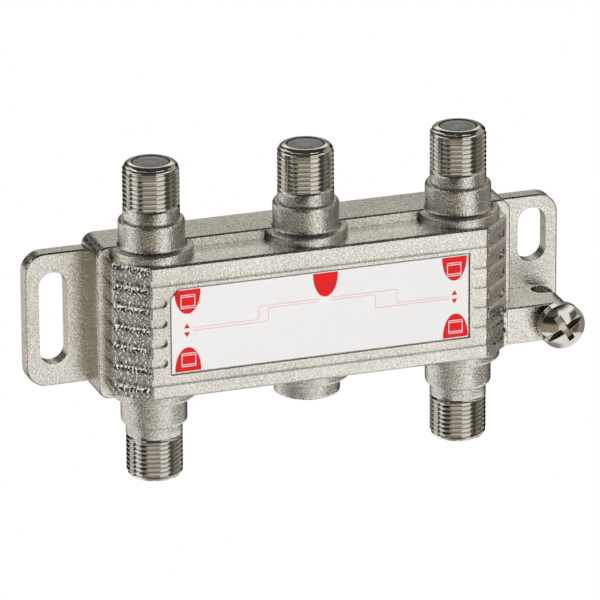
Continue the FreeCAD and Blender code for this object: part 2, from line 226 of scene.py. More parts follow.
def is_turned_outside(face):
    """Whether a face of the casting belongs to the outside of a port or of the blank stub."""
    centre = face.calc_center_median()
    for place in TURNED_PLACES:
        x, y, way = place
        above_block = centre.z * way - BLOCK_TOP
        radial = Vector((centre.x - x, centre.y - y, 0))
        is_round_bore = BORE_RADIUS + 2 * SLACK < radial.length < RING_RADIUS + SLACK
        is_of_port = above_block >= HAIR and is_round_bore
        is_of_stub = place == STUB_PLACE and above_block > STUB_FOOT and radial.length < STUB_REACH
        if not is_of_port and not is_of_stub:
            continue
        outward = face.normal.dot(radial.normalized())
        across = face.normal.cross(radial.normalized()).z
        is_on_flange = abs(above_block - FLANGE_STEP) <= SLACK
        is_end = abs(face.normal.z) > 0.9 and not is_on_flange
        is_turned_wall = outward > 0.2 and abs(across) < 0.12
        if is_end or is_turned_wall:
            return True
    return False


GRAIN_SIZE = 0.3 * MM
DARK_SPECK = (0.16, 0.15, 0.14, 1)
LIGHT_SPECK = (0.97, 0.95, 0.92, 1)


def skin_grain(finish, place):
    """The fine grain of the as-cast skin, which the plating follows."""
    return finish.noise(place, GRAIN_SIZE, 2.0, 0.7)


def speckled(finish, place, tone, amount):
    """The tone with the grain's dark pits and light peaks, as strong as the amount from 0 to 1."""
    dark = finish.noise(place, GRAIN_SIZE, 0.0).between(0.58, 0.66)
    light = finish.noise(place, 0.32 * MM, 0.0).between(0.44, 0.36)
    tone = finish.mix(dark * amount * 0.3, tone, DARK_SPECK)
    return finish.mix(light * amount * 0.45, tone, LIGHT_SPECK)


FLANGE_FRONT = 8.46 * MM
CHAMFER_START = 29.7 * MM
CHAMFER_END = 34.7 * MM
SOFT_EDGE = 0.1 * MM


def chamfer_mask(finish, place, before_flange):
    """1 on the two end chamfers of the front block and 0 elsewhere."""
    across = finish.along(place, "X")
    across = across.maths("ABSOLUTE", across)
    past_front = across.between(CHAMFER_START, CHAMFER_START + SOFT_EDGE)
    within_end = across.between(CHAMFER_END + SOFT_EDGE, CHAMFER_END)
    return past_front * within_end * before_flange.between(0, SOFT_EDGE)


RIB_PITCH = 3.5 * MM
RIB_TOP = 4.45 * MM
TOP_BAND_FOOT = 9.5 * MM
RIB_ROUNDING = 1.3 * MM
RIB_SETBACK = 0.42 * MM


def rib_rounding(finish, place):
    """How far the ribs on an end chamfer are rounded back along their upper edges."""
    height = finish.along(place, "Z")
    below_top = RIB_TOP - height
    near_rib_top = below_top.maths("FLOORED_MODULO", below_top, RIB_PITCH).between(RIB_ROUNDING, 0)
    near_rib_top = near_rib_top * height.between(TOP_BAND_FOOT + SOFT_EDGE, TOP_BAND_FOOT)
    near_top = near_rib_top + (BLOCK_TOP - height).between(RIB_ROUNDING, 0)
    return near_top * near_top * RIB_SETBACK


DRAFT = 0.06


def cast_nickel():
    """Nickel plating over a grainy casting, coarser on the ribbed chamfers, with shade painted into its
    colour in the crevices.
    """
    finish = Finish("nickel_casting", Metallic=1.0)
    place = finish.place()
    grain = skin_grain(finish, place)
    patches = finish.noise(place, 9 * MM)
    tone = finish.ramp(patches, [(0.3, (0.63, 0.61, 0.565)), (0.7, (0.72, 0.70, 0.655))])
    tone = speckled(finish, place, tone, 1.0)
    before_flange = finish.along(place, "Y") * -1 - FLANGE_FRONT
    is_chamfer = chamfer_mask(finish, place, before_flange)
    # painted shade: the colour darkens in corners and grooves, less on the end chamfers
    crevice_shade = finish.openness(0.4 * MM).between(0.6, 0.25)
    tone = finish.mix(crevice_shade * (0.85 - is_chamfer * 0.75), tone, (0.06, 0.055, 0.05, 1))
    # the block's sides lean inwards towards the front, which lets the casting leave its mould
    leaning = before_flange.maths("MAXIMUM", before_flange, 0) * DRAFT
    waves = finish.noise(place, 0.9 * MM)
    height = grain * (0.075 * MM) + waves * (0.015 * MM) - leaning
    coarser = finish.noise(place, 0.45 * MM, 0.0) * (0.12 * MM) - grain * (0.045 * MM)
    height = height + is_chamfer * (coarser - rib_rounding(finish, place))
    normal = finish.bump(height, 1.0, 1.0, 0.09 * MM)
    return finish.show(Base_Color=tone, Roughness=0.06 + grain * 0.07, Normal=normal)


nickel_casting = cast_nickel()
new_piece(
    "housing_casting",
    copied("housing", lambda face: not is_turned_outside(face)),
    nickel_casting,
    "splitter",
    "nickel",
    "housing",
)


# The ports and the blank stub
# Each port is turned out of the same casting: a base ring, a collar, a neck and a fine right-handed
# thread of 3/8 in with 32 turns to the inch. The blank stub is the place of the sixth one, left short.
COLUMNS = 84
RING_SUNK = 0.6 * MM
RING_HEIGHT = 1.55 * MM
TIP_HEIGHT = 15.99 * MM
THREAD_RADIUS = 4.76 * MM
THREAD_PITCH = 25.4 / 32 * MM
THREAD_DEPTH = 0.44 * MM
THREAD_FOOT = TIP_HEIGHT - 7.8 * MM
THREAD_RUN_OUT = 0.8 * THREAD_PITCH
TIP_ROUNDING = 1.4 * MM
MOUTH_RECESS = 0.25 * MM
COLLAR_RADIUS = 5.58 * MM
NECK_FOOT = THREAD_FOOT - 1.9 * MM
STUB_HEIGHT = 4.35 * MM
CRISP_EDGE = 0.02 * MM
LIP_EDGE = 0.04 * MM


def rounded_profile(corners, steps=5):
    """A half profile of (radius, height) points, from corners whose third number is their rounding."""
    points = []
    for index, (radius, height, rounding) in enumerate(corners):
        here = Vector((radius, height))
        if not rounding or index in (0, len(corners) - 1):
            points.append(here)
            continue
        before = Vector(corners[index - 1][:2])
        after = Vector(corners[index + 1][:2])
        start = here + (before - here).normalized() * rounding
        end = here + (after - here).normalized() * rounding
        for step in range(steps + 1):
            t = step / steps
            points.append(start * (1 - t) ** 2 + here * (2 * t * (1 - t)) + end * t**2)
    return points


def add_rings(shape, rings):
    """Joins rings of points, each as long as the next, into a tube whose ends stay open."""
    made = [[shape.verts.new(point) for point in ring] for ring in rings]
    for low, high in zip(made, made[1:]):
        for column in range(len(low) - 1):
            shape.faces.new([low[column], low[column + 1], high[column + 1], high[column]])


def ring_of(radius, height, columns=COLUMNS):
    """A level ring of points whose last one lies on its first."""
    turn = 2 * math.pi / columns
    return [
        (radius * math.cos(column * turn), radius * math.sin(column * turn), height)
        for column in range(columns + 1)
    ]


def rings_along(profile, columns=COLUMNS):
    return [ring_of(radius, height, columns) for radius, height in profile]


CREST_END = 0.125
ROOT_START = 0.4375
ROOT_END = 0.6875


def thread_dip(phase):
    """How deep the thread lies below its crest, from 0 to 1, along one pitch."""
    phase = phase % 1.0
    if phase < CREST_END:
        return 0.0
    if phase < ROOT_START:
        return (phase - CREST_END) / (ROOT_START - CREST_END)
    if phase < ROOT_END:
        return 1.0
    return (1.0 - phase) / (1.0 - ROOT_END)


def threaded_rings(crest_radius, depth, pitch, foot, top, limit, run_out):
    """Rings of a right-handed thread, each one climbing by a pitch on its way round."""
    phases = (0.0, 0.06, CREST_END, 0.28, ROOT_START, 0.56, ROOT_END, 0.84)
    turns = math.ceil((top - foot) / pitch) + 1
    rings = []
    for turn in range(-1, turns):
        for phase in phases:
            ring = []
            for column in range(COLUMNS + 1):
                angle = 2 * math.pi * column / COLUMNS
                climb = pitch * column / COLUMNS
                height = foot + (turn + phase) * pitch + climb
                kept = min(max(height, foot), top)
                dip = thread_dip((kept - foot - climb) / pitch)
                fade = min((kept - foot) / run_out, 1.0)
                radius = min(crest_radius - depth * dip * fade, limit(kept))
                ring.append((radius * math.cos(angle), radius * math.sin(angle), kept))
            rings.append(ring)
    return rings


def close_up(shape):
    """Joins doubled points, drops faces of no size and turns every face outwards."""
    bmesh.ops.remove_doubles(shape, verts=shape.verts, dist=2 * HAIR)
    bmesh.ops.dissolve_degenerate(shape, dist=HAIR, edges=shape.edges)
    bmesh.ops.recalc_face_normals(shape, faces=shape.faces)


def turned_mesh(name, place, rings):
    """The mesh of a turned piece, from rings made on the Z axis, brought to its port."""
    x, y, way = place
    shape = bmesh.new()
    add_rings(shape, rings)
    close_up(shape)
    if way < 0:
        shape.transform(Matrix.Rotation(math.pi, 4, "Y"))
    shape.transform(Matrix.Translation((x, y, 0)))
    return smoothed(mesh_of(shape, name), sharp_angle=35)


def port_tip_limit(height):
    """The largest radius that the rounded tip leaves at a height."""
    rounding_foot = BLOCK_TOP + TIP_HEIGHT - TIP_ROUNDING
    past = max(height - rounding_foot, 0.0)
    return THREAD_RADIUS - TIP_ROUNDING + math.sqrt(max(TIP_ROUNDING**2 - past**2, 0.0))


def port_mesh(name):
    """A port from its base ring, which reaches into the block, to the inside of its lip."""
    foot = [
        (RING_RADIUS, BLOCK_TOP - RING_SUNK, 0),
        (RING_RADIUS, BLOCK_TOP + RING_HEIGHT, 0.45 * MM),
        (COLLAR_RADIUS, BLOCK_TOP + RING_HEIGHT, 0.75 * MM),
        (COLLAR_RADIUS, BLOCK_TOP + NECK_FOOT, 0.8 * MM),
        (THREAD_RADIUS, BLOCK_TOP + NECK_FOOT, CRISP_EDGE),
        (THREAD_RADIUS, BLOCK_TOP + THREAD_FOOT, 0),
    ]
    tip = BLOCK_TOP + TIP_HEIGHT
    thread_top = tip - LIP_EDGE
    lip = [
        (port_tip_limit(thread_top), thread_top, 0),
        (THREAD_RADIUS - TIP_ROUNDING, tip, CRISP_EDGE),
        (BORE_RADIUS + LIP_EDGE, tip, LIP_EDGE),
        (BORE_RADIUS, tip - MOUTH_RECESS - 0.1 * MM, 0),
    ]
    rings = rings_along(rounded_profile(foot))
    rings += threaded_rings(
        THREAD_RADIUS,
        THREAD_DEPTH,
        THREAD_PITCH,
        BLOCK_TOP + THREAD_FOOT,
        thread_top,
        port_tip_limit,
        THREAD_RUN_OUT,
    )
    rings += rings_along(rounded_profile(lip, 3))
    return turned_mesh("port_" + name + "_turned", port_place(name), rings)


def stub_mesh():
    """The blank stub: the same base ring, with a short closed collar on it."""
    profile = [
        (RING_RADIUS, BLOCK_TOP - RING_SUNK, 0),
        (RING_RADIUS, BLOCK_TOP + RING_HEIGHT, 0.45 * MM),
        (COLLAR_RADIUS, BLOCK_TOP + RING_HEIGHT, 0.5 * MM),
        (COLLAR_RADIUS, BLOCK_TOP + STUB_HEIGHT, 0.5 * MM),
        (CRISP_EDGE, BLOCK_TOP + STUB_HEIGHT, 0),
    ]
    return turned_mesh("blank_stub_turned", STUB_PLACE, rings_along(rounded_profile(profile)))


def turned_nickel():
    """The same plating, smooth where the tool has cut the thread and grainy below it."""
    finish = Finish("nickel_turned", Metallic=1.0)
    place = finish.place()
    height = finish.along(place, "Z")
    height = height.maths("ABSOLUTE", height)
    thread_foot = BLOCK_TOP + THREAD_FOOT
    cast = height.between(thread_foot + 0.2 * MM, thread_foot - 0.3 * MM)
    grain = skin_grain(finish, place)
    patches = finish.noise(place, 2 * MM)
    tone = finish.ramp(patches, [(0.3, (0.61, 0.59, 0.54)), (0.7, (0.71, 0.69, 0.635))])
    tone = speckled(finish, place, tone, cast)
    # painted shade: the colour darkens in the thread's roots and the other hollows of the turned outside
    crevice_shade = finish.openness(0.5 * MM).between(0.7, 0.35)
    tone = finish.mix(crevice_shade * 0.85, tone, (0.09, 0.075, 0.06, 1))
    roughness = 0.07 + cast * (grain * 0.07)
    normal = finish.bump(grain * (0.1 + cast * 0.9), 0.1 * MM)
    return finish.show(Base_Color=tone, Roughness=roughness, Normal=normal)


nickel_turned = turned_nickel()
for port in PORT_NAMES:
    new_piece("port_" + port + "_turned", port_mesh(port), nickel_turned, "splitter", "nickel")
new_piece("blank_stub_turned", stub_mesh(), nickel_turned, "splitter", "nickel")


# The insulators
# A grey moulded plug closes each port, with a funnel in its middle that leads the plug's centre wire
# into the contact. It is pressed in from the mouth and sits a little below the rim.
PLUG_RADIUS = 3.15 * MM
PLUG_FACE = BLOCK_TOP + TIP_HEIGHT - 0.5 * MOUTH_RECESS
PLUG_FOOT = PLUG_FACE - 9 * MM
DISH_RADIUS = 2.35 * MM
DISH_FLOOR = PLUG_FACE - 0.25 * MM
DISH_EDGE = 0.08 * MM
FUNNEL_RADIUS = 1.35 * MM
FUNNEL_EDGE = 0.1 * MM
WIRE_HOLE_RADIUS = 0.8 * MM
WIRE_HOLE_FOOT = PLUG_FACE - 1.6 * MM
CONTACT_ROOM_RADIUS = 1.0 * MM


def insulator_mesh(name):
    """The plug's face with its shallow dish and funnel, and the room for the contact behind them."""
    profile = [
        (PLUG_RADIUS, PLUG_FOOT, 0),
        (PLUG_RADIUS, PLUG_FACE, 0.25 * MM),
        (DISH_RADIUS, PLUG_FACE, DISH_EDGE),
        (DISH_RADIUS - 0.15 * MM, DISH_FLOOR, DISH_EDGE),
        (FUNNEL_RADIUS, DISH_FLOOR - 0.03 * MM, FUNNEL_EDGE),
        (WIRE_HOLE_RADIUS, DISH_FLOOR - 0.6 * MM, FUNNEL_EDGE),
        (WIRE_HOLE_RADIUS, WIRE_HOLE_FOOT, 0),
        (CONTACT_ROOM_RADIUS, WIRE_HOLE_FOOT, 0),
        (CONTACT_ROOM_RADIUS, PLUG_FOOT, 0),
        (PLUG_RADIUS, PLUG_FOOT, 0),
    ]
    rings = rings_along(rounded_profile(profile, 3), 48)
    return turned_mesh("insulator_" + name + "_plug", port_place(name), rings)


def grey_plastic():
    """Matt grey plastic with a mottled tone, and shade painted into its colour in the funnel."""
    finish = Finish("insulator_plastic", Specular_IOR_Level=0.45)
    place = finish.place()
    mottle = finish.noise(place, 0.7 * MM)
    tone = finish.ramp(mottle, [(0.3, (0.38, 0.37, 0.36)), (0.7, (0.47, 0.46, 0.44))])
    # painted shade: the colour darkens in the funnel and the other hollows of the plug
    crevice_shade = finish.openness(1.0 * MM).between(0.95, 0.5)
    tone = finish.mix(crevice_shade * 0.9, tone, (0.09, 0.085, 0.08, 1))
    roughness = 0.42 + finish.noise(place, 0.5 * MM) * 0.2
    normal = finish.bump(finish.noise(place, 0.12 * MM), 0.006 * MM, 0.6)
    return finish.show(Base_Color=tone, Roughness=roughness, Normal=normal)


insulator_plastic = grey_plastic()
for port in PORT_NAMES:
    new_piece(
        "insulator_" + port + "_plug",
        insulator_mesh(port),
        insulator_plastic,
        "splitter",
        "insulator",
        "insulator_" + port,
    )


# The label
# A white printed plate glued into the recess of the front face. Its print is five red tabs, a small
# screen outline in the four output tabs, arrows towards the outputs and two pairs of thin circuit lines.
LABEL_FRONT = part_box("label_plate")[0].y
PRINT_BACK = LABEL_FRONT + 0.004 * MM
PRINT_FRONT = PRINT_BACK - 0.016 * MM
SECOND_PRINT_FRONT = PRINT_FRONT - 0.008 * MM


def flat_prism(shape, outline, back, front):
    """A thin plate from its outline of (x, z) points, between two depths."""
    behind = [shape.verts.new((x, back, z)) for x, z in outline]
    before = [shape.verts.new((x, front, z)) for x, z in outline]
    shape.faces.new(before)
    shape.faces.new(list(reversed(behind)))
    count = len(outline)
    for index in range(count):
        after = (index + 1) % count
        shape.faces.new([behind[index], behind[after], before[after], before[index]])


def plate_mesh(name, outlines, back, front):
    """One mesh of all the outlines, given in millimetres on the front face."""
    shape = bmesh.new()
    for outline in outlines:
        flat_prism(shape, [(x * MM, z * MM) for x, z in outline], back, front)
    bmesh.ops.recalc_face_normals(shape, faces=shape.faces)
    return mesh_of(shape, name)


def line_outline(points, width):
    """The outline of a bent line of one width: out along its left side and back along its right."""
    sides = ([], [])
    for index, point in enumerate(points):
        here = Vector(point)
        before = (here - Vector(points[index - 1])).normalized() if index else None
        after = (Vector(points[index + 1]) - here).normalized() if index + 1 < len(points) else None
        along = ((before or after) + (after or before)).normalized()
        across = Vector((-along.y, along.x))
        lean = across.dot(Vector((-(after or before).y, (after or before).x)))
        for side, sign in zip(sides, (1, -1)):
            side.append(tuple(here + across * (sign * width / 2 / lean)))
    return sides[0] + list(reversed(sides[1]))


def tab_outline(x, edge, tip, half_width, cut=0.0):
    """A half oval that grows from the label's edge, with its corner cut off where the label's is."""
    steps = 28
    fullness = 0.97
    rise = tip - edge
    outline = []
    for step in range(steps + 1):
        angle = math.pi * step / steps
        across = -math.copysign(abs(math.cos(angle)) ** fullness, math.cos(angle)) * half_width
        outline.append((x + across, edge + rise * math.sin(angle) ** fullness))
    if cut:
        outline[0] = (x - half_width, edge - cut)
        outline.insert(0, (x - half_width + cut, edge))
    return outline


# the print's sizes and places are in millimetres from the middle of the front face
SCREEN_HALF_WIDTH = 1.2
SCREEN_HALF_HEIGHT = 1.14
SCREEN_BAR = 0.33
SCREEN_STROKE = 0.13
SCREENS = ((-23.23, 5.1), (-23.18, -5.15), (23.59, 4.95), (23.85, -5.27))


def screen_outlines(x, z):
    """A screen: a box drawn with one stroke, with a second line inside its top and its bottom."""
    low, high = z - SCREEN_HALF_HEIGHT, z + SCREEN_HALF_HEIGHT
    left, right = x - SCREEN_HALF_WIDTH, x + SCREEN_HALF_WIDTH
    rows = (high, high - SCREEN_BAR, low + SCREEN_BAR, low)
    lines = [[(left, row), (right, row)] for row in rows]
    foot, head = low - SCREEN_STROKE / 2, high + SCREEN_STROKE / 2
    lines += [[(side, foot), (side, head)] for side in (left, right)]
    return [line_outline(line, SCREEN_STROKE) for line in lines]


screen_shapes = []
for screen_x, screen_z in SCREENS:
    screen_shapes += screen_outlines(screen_x, screen_z)

ARROW_HALF_WIDTH = 0.52
ARROW_LENGTH = 0.86


def arrow_outline(x, base, way):
    tip = base + way * ARROW_LENGTH
    return [(x - ARROW_HALF_WIDTH, base), (x + ARROW_HALF_WIDTH, base), (x, tip)]


TAB_EDGE = 7.17
TAB_TIP = 2.95
LEFT_TAB = -23.3
INPUT_TAB = 0.83
RIGHT_TAB = 23.65
CORNER_CUT = 0.62

red_shapes = [
    tab_outline(LEFT_TAB, TAB_EDGE, TAB_TIP, 2.28, CORNER_CUT),
    tab_outline(INPUT_TAB, TAB_EDGE, TAB_TIP, 2.2),
    tab_outline(RIGHT_TAB, TAB_EDGE, TAB_TIP, 2.2),
    tab_outline(LEFT_TAB, -TAB_EDGE, -TAB_TIP, 2.28),
    tab_outline(RIGHT_TAB + 0.17, -TAB_EDGE, -TAB_TIP, 2.24),
]
for arrow_x in (-23.45, 23.65):
    red_shapes.append(arrow_outline(arrow_x, 0.4, 1))
    red_shapes.append(arrow_outline(arrow_x, -0.28, -1))

CIRCUIT_STROKE = 0.085
CIRCUIT_LINES = (
    ((-22.4, 0.4), (-11.2, 0.4), (-10.9, 0.7), (-10.9, 2.4), (-10.6, 2.7), (-0.3, 2.7)),
    ((-22.4, -0.1), (-9.5, -0.1), (-9.2, 0.2), (-9.2, 1.95), (-8.9, 2.25), (-0.4, 2.25)),
    ((2.0, 2.7), (13.2, 2.7), (13.4, 2.5), (13.4, 0.55), (13.7, 0.25), (22.8, 0.25)),
    ((2.0, 2.25), (9.4, 2.25), (9.6, 2.05), (9.6, 0.1), (9.9, -0.2), (22.8, -0.2)),
)
circuit_shapes = [line_outline(points, CIRCUIT_STROKE) for points in CIRCUIT_LINES]


def film(name, colour, roughness):
    """Printing ink or white film under a clear lacquer, with a faint ripple."""
    finish = Finish(name, Roughness=roughness, Specular_IOR_Level=0.25, Coat_Roughness=0.12)
    place = finish.place()
    shade = tuple(part * 0.985 for part in colour)
    tone = finish.ramp(finish.noise(place, 2.5 * MM), [(0.35, shade), (0.65, colour)])
    normal = finish.bump(finish.noise(place, 1.5 * MM), 0.004 * MM, 0.3)
    return finish.show(Base_Color=tone, Normal=normal, Coat_Weight=0.06)


label_white = film("label_white", (0.90, 0.90, 0.91), 0.4)
label_red = film("label_red", (0.80, 0.008, 0.012), 0.5)
label_pink = film("label_pink", (0.86, 0.33, 0.40), 0.4)


def finish_node(node, material):
    """Gives a CAD node that stays as it is its material."""
    mesh = frame["nodes"][node].data
    mesh.materials.clear()
    mesh.materials.append(material)


finish_node("label_plate", label_white)
for print_name, shapes, ink, front in (
    ("label_red_tabs", red_shapes, label_red, PRINT_FRONT),
    ("label_screens", screen_shapes, label_white, SECOND_PRINT_FRONT),
    ("label_circuit_lines", circuit_shapes, label_pink, PRINT_FRONT),
):
    new_piece(print_name, plate_mesh(print_name, shapes, PRINT_BACK, front), ink, "splitter", "label")


# The ground screw
# A steel pan-head screw with a slot and a cross in its dome, plated bright, that clamps the ground
# wire. Its head is the CAD solid with rounded edges, and its shank carries a metric thread.
SCREW_LOW, SCREW_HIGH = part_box("ground_screw")
SCREW_X = (SCREW_LOW.x + SCREW_HIGH.x) / 2
SCREW_Z = (SCREW_LOW.z + SCREW_HIGH.z) / 2
SHANK_RADIUS = 1.7 * MM
SHANK_PITCH = 0.6 * MM
SHANK_DEPTH = 0.33 * MM
SHANK_LENGTH = 6.5 * MM
SHANK_CHAMFER = 0.5 * MM
SHANK_RUN_OUT = 0.2 * MM
SHANK_SUNK = 0.1 * MM


def is_head(face):
    """Whether a face of the screw belongs to its head, which ends where the shank starts."""
    return face.calc_center_median().y < SCREW_HIGH.y - SHANK_LENGTH + HAIR


def shank_limit(height):
    """The shank's radius at a height above its tip, where a chamfer cuts it back."""
    return SHANK_RADIUS - SHANK_CHAMFER + min(height, SHANK_CHAMFER)


def shank_mesh():
    """The threaded shank, from the middle of its tip to a little way into the head."""
    top = SHANK_LENGTH + SHANK_SUNK
    rings = rings_along([(CRISP_EDGE, 0), (shank_limit(0), 0)])
    rings += threaded_rings(SHANK_RADIUS, SHANK_DEPTH, SHANK_PITCH, 0, top, shank_limit, SHANK_RUN_OUT)
    shape = bmesh.new()
    add_rings(shape, rings)
    shape.transform(Matrix.Rotation(math.pi / 2, 4, "X"))
    close_up(shape)
    shape.transform(Matrix.Translation((SCREW_X, SCREW_HIGH.y, SCREW_Z)))
    return smoothed(mesh_of(shape, "ground_screw_shank"), sharp_angle=180)


def bright_plating():
    """Polished plating over steel, a little duller and darker in the recess, where shade is painted into
    its colour.
    """
    finish = Finish("screw_plating", Metallic=1.0)
    place = finish.place()
    patches = finish.noise(place, 1.5 * MM)
    tone = finish.ramp(patches, [(0.3, (0.62, 0.60, 0.55)), (0.7, (0.74, 0.72, 0.67))])
    scuffs = finish.noise(place, 0.35 * MM, 4.0, 0.65)
    # painted shade: the colour darkens in the slot and cross of the head and in its other hollows
    crevice_shade = finish.openness(1.3 * MM).between(0.92, 0.6)
    tone = finish.mix(crevice_shade * 0.9, tone, (0.14, 0.10, 0.065, 1))
    roughness = 0.06 + scuffs * 0.12
    normal = finish.bump(scuffs, 0.006 * MM, 0.5, 0.15 * MM)
    return finish.show(Base_Color=tone, Roughness=roughness, Normal=normal)


screw_plating = bright_plating()
new_piece(
    "ground_screw_head",
    copied("ground_screw", is_head),
    screw_plating,
    "screw",
    "screw_steel",
    "ground_screw",
)
new_piece("ground_screw_shank", shank_mesh(), screw_plating, "screw", "screw_steel")


# The back cover and what it hides
# A tinned sheet closes the housing behind. Inside, a green board carries ferrite cores with their
# windings, chips, chokes and diodes, and the brass contacts of the ports reach down into it.
def metal(name, dark, light, roughness, feature, depth):
    """Bare or enamelled metal with patches of two tones and scuffs as long as the feature."""
    finish = Finish(name, Metallic=1.0)
    place = finish.place()
    tone = finish.ramp(finish.noise(place, 6 * feature), [(0.3, dark), (0.7, light)])
    scuffs = finish.noise(place, feature, 3.0)
    normal = finish.bump(scuffs, depth, 0.6)
    return finish.show(Base_Color=tone, Roughness=roughness + scuffs * 0.15, Normal=normal)


def matt(name, dark, light, roughness, feature, depth):
    """A matt solid with a tone mottled at the feature's length and a fine grain."""
    finish = Finish(name)
    place = finish.place()
    tone = finish.ramp(finish.noise(place, feature), [(0.3, dark), (0.7, light)])
    normal = finish.bump(finish.noise(place, feature / 3), depth, 0.6)
    return finish.show(Base_Color=tone, Roughness=roughness, Normal=normal)


WEAVE_SCALE = 0.3 / MM


def weave(finish, place, direction):
    """Threads of the board's glass cloth, about a millimetre apart along one direction."""
    settings = {"wave_type": "BANDS", "bands_direction": direction}
    return finish.node("ShaderNodeTexWave", settings, {"Vector": place, "Scale": WEAVE_SCALE}, 1)


def laminate():
    """Green solder mask over a glass weave, with a fine square grid of fibres under it."""
    finish = Finish("board_laminate")
    place = finish.place()
    patches = finish.noise(place, 1.8 * MM)
    tone = finish.ramp(patches, [(0.3, (0.018, 0.11, 0.045)), (0.7, (0.03, 0.16, 0.065))])
    normal = finish.bump(weave(finish, place, "X") + weave(finish, place, "Z"), 0.004 * MM, 0.5)
    return finish.show(Base_Color=tone, Roughness=0.32, Normal=normal)


tinned_sheet = metal(
    "tinned_sheet",
    dark=(0.56, 0.56, 0.55),
    light=(0.68, 0.68, 0.67),
    roughness=0.25,
    feature=0.6 * MM,
    depth=0.01 * MM,
)
contact_brass = metal(
    "contact_brass",
    dark=(0.70, 0.52, 0.24),
    light=(0.78, 0.60, 0.30),
    roughness=0.2,
    feature=0.2 * MM,
    depth=0.004 * MM,
)
enamelled_copper = metal(
    "enamelled_copper",
    dark=(0.50, 0.13, 0.04),
    light=(0.62, 0.20, 0.07),
    roughness=0.18,
    feature=0.3 * MM,
    depth=0.003 * MM,
)
ferrite_black = matt(
    "ferrite_black",
    dark=(0.022, 0.022, 0.024),
    light=(0.045, 0.044, 0.046),
    roughness=0.6,
    feature=0.3 * MM,
    depth=0.02 * MM,
)
chip_ceramic = matt(
    "chip_ceramic",
    dark=(0.26, 0.17, 0.10),
    light=(0.34, 0.24, 0.15),
    roughness=0.5,
    feature=0.3 * MM,
    depth=0.006 * MM,
)
chip_plastic = matt(
    "chip_plastic",
    dark=(0.012, 0.012, 0.013),
    light=(0.028, 0.028, 0.03),
    roughness=0.45,
    feature=0.2 * MM,
    depth=0.006 * MM,
)
hidden_finishes = {
    "tinplate": tinned_sheet,
    "contact_brass": contact_brass,
    "board": laminate(),
    "ferrite": ferrite_black,
    "enamelled_wire": enamelled_copper,
    "chip_ceramic": chip_ceramic,
    "chip_plastic": chip_plastic,
}
for subpart in frame["record"]["subparts"]:
    if subpart["material_slot"] in hidden_finishes:
        finish_node(subpart["node"], hidden_finishes[subpart["material_slot"]])


# The studio
# A pale floor well below the splitter, which floats upright as in the picture, and round it a tent of
# bright, grey and black cloth panels that the plating mirrors, with a dark ceiling and a soft lamp in
# front. The floor looks white, but the plating mirrors two darker pieces of cloth on it.
FLOOR_HEIGHT = -0.26
FLOOR_HALF_SIZE = 6.0
WHITE = (1, 1, 1, 1)
BLUE_BLACK = (0.03, 0.035, 0.05)
DISC_TONE = (0.36, 0.33, 0.28, 1)
DISC_RADIUS = 0.09
DISC_FADE_END = 0.14
SIDE_CLOTH_EDGE = -0.1
SIDE_CLOTH_BACK = 0.06
SIDE_CLOTH_FRONT = -0.2
CLOTH_FADE = 0.03


def lit_by(finish, glow, *seen_by):
    """Lets the glow take the place of the plain surface for the kinds of ray that see it."""
    seen = seen_by[0]
    for ray in seen_by[1:]:
        seen = seen.maths("MAXIMUM", seen, ray)
    plain = Value(finish, finish.shader.outputs[0])
    return finish.node("ShaderNodeMixShader", {}, {0: seen, 1: plain, 2: glow})


def floor_material():
    """Paper that shows white, with a dark cloth at the left and a grey disc below in its mirror images."""
    finish = Finish("floor_paper", Roughness=0.8)
    straight = finish.node("ShaderNodeLightPath", {}, {}, "Is Camera Ray")
    rays = straight.socket.node.outputs
    mirrored = Value(finish, rays["Is Glossy Ray"])
    through = Value(finish, rays["Is Transmission Ray"])
    place = finish.place()
    tone = finish.ramp(finish.noise(place, 0.3), [(0.3, (0.8, 0.8, 0.8)), (0.7, (0.84, 0.84, 0.84))])
    finish.show(Base_Color=tone)
    across = finish.along(place, "X")
    back = finish.along(place, "Y")
    side_cloth = across.between(SIDE_CLOTH_EDGE, SIDE_CLOTH_EDGE - CLOTH_FADE)
    side_cloth = side_cloth * back.between(SIDE_CLOTH_BACK, SIDE_CLOTH_BACK - CLOTH_FADE)
    side_cloth = side_cloth * back.between(SIDE_CLOTH_FRONT, SIDE_CLOTH_FRONT + CLOTH_FADE)
    disc = (across * across + back * back).between(DISC_FADE_END**2, DISC_RADIUS**2)
    light = finish.mix(side_cloth * mirrored, WHITE, (*BLUE_BLACK, 1))
    light = finish.mix(disc * mirrored, light, DISC_TONE)
    glow = finish.node("ShaderNodeEmission", {}, {"Color": light, "Strength": 1.0})
    surface = lit_by(finish, glow, straight, mirrored, through)
    finish.feed(finish.tree.nodes["Material Output"].inputs["Surface"], surface)
    return finish.material


def floor_mesh():
    reach = FLOOR_HALF_SIZE
    outline = [(-reach, -reach), (reach, -reach), (reach, reach), (-reach, reach)]
    mesh = bpy.data.meshes.new("floor")
    mesh.from_pydata([(x, y, FLOOR_HEIGHT) for x, y in outline], [], [(0, 1, 2, 3)])
    return mesh


floor = bpy.data.objects.new("floor", floor_mesh())
bpy.context.scene.collection.objects.link(floor)
floor.data.materials.append(floor_material())

TENT_RADIUS = 0.42
TENT_FOOT = FLOOR_HEIGHT + 0.002
TENT_TOP = 0.29
TENT_COLUMNS = 360
CEILING_HEIGHT = TENT_TOP + 0.06
CEILING = (0.04, 0.04, 0.04)
BLACK = (0.02, 0.02, 0.022)
BLUE_GREY = (0.32, 0.325, 0.33)
BRIGHT = (1.15, 1.13, 1.09)
OLIVE = (0.23, 0.22, 0.185)
PALE_OLIVE = (1.1, 1.08, 0.99)
BROWN = (0.46, 0.42, 0.375)
TAN = (0.31, 0.28, 0.245)
WARM = (0.36, 0.31, 0.23)
DARK_BROWN = (0.12, 0.11, 0.095)
